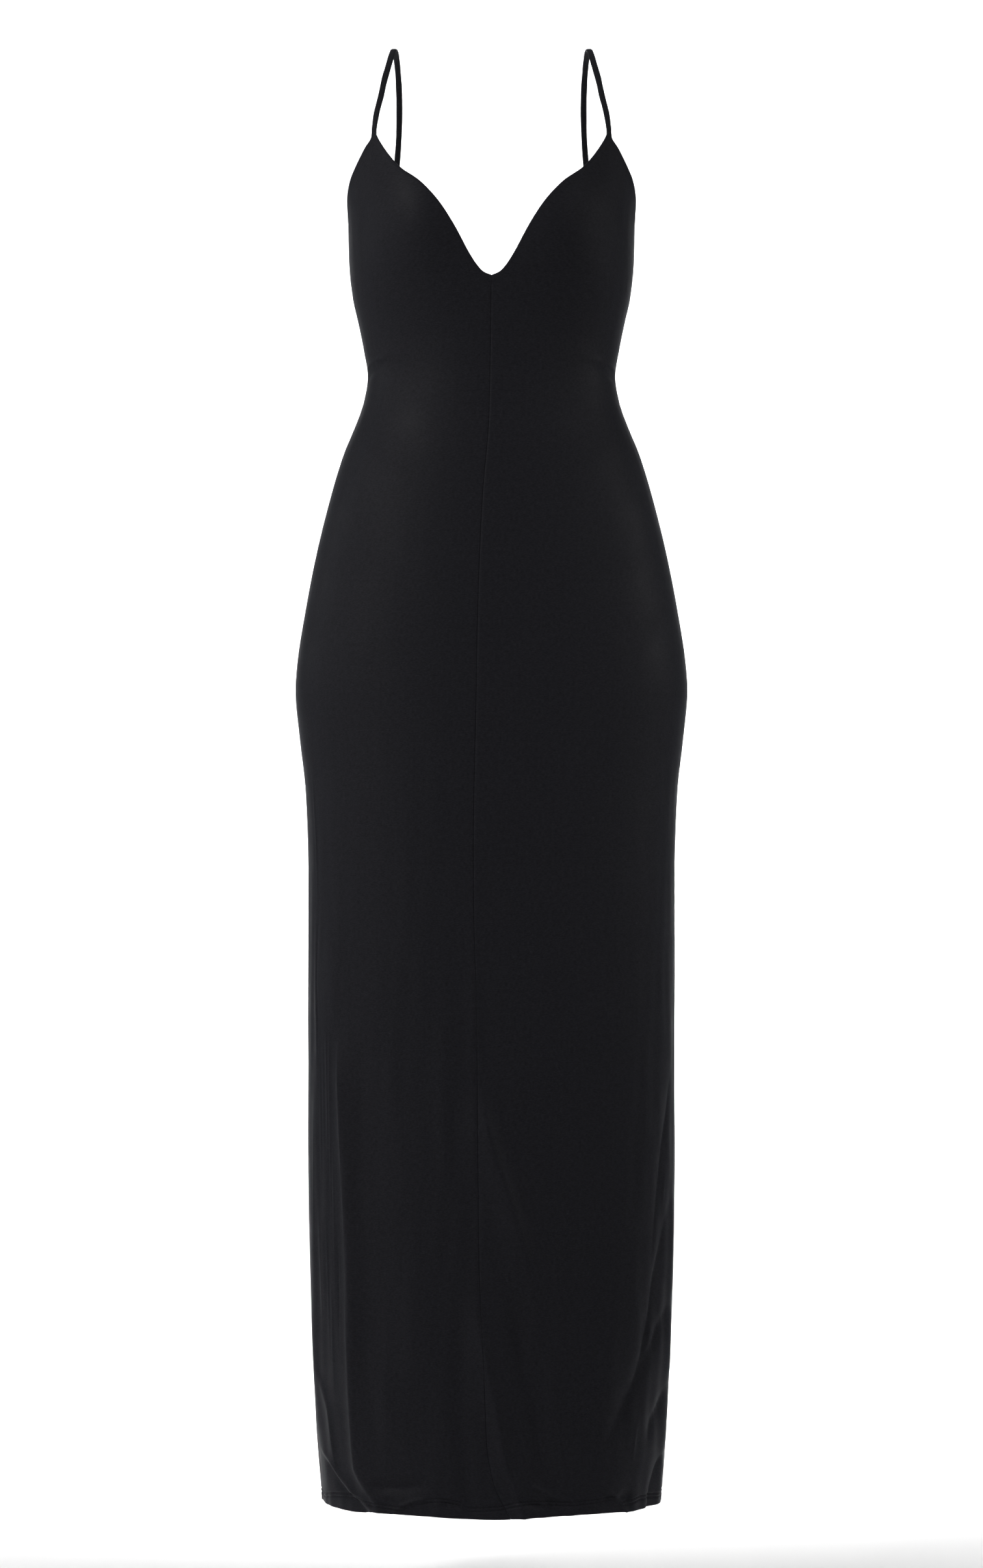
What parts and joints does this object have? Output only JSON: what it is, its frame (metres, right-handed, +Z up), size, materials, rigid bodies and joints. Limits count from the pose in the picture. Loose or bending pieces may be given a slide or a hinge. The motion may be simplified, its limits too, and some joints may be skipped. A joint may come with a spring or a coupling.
{
  "type": "maxi dress, worn form",
  "caption": "Floor-length black jersey slip dress in its hollow worn form, with a low V neck, narrow shoulder straps and a low straight back.",
  "frame": {"origin": "midway between the two straps where they cross the wearer's shoulders, at the straps' mid thickness", "axes": "+Z up, -Y to the front of the dress, +X to the right seen from the front"},
  "size_m": [0.3672, 0.2544, 1.3574],
  "materials": {
    "jersey": "matt black slinky jersey with a faint blue sheen at grazing angles",
    "strap_jersey": "the same jersey turned into a narrow flat tube"
  },
  "bodies": {
    "root": {"front_left": "jersey", "front_right": "jersey", "back": "jersey", "strap_left": "strap_jersey", "strap_right": "strap_jersey"}
  },
  "joints": []
}
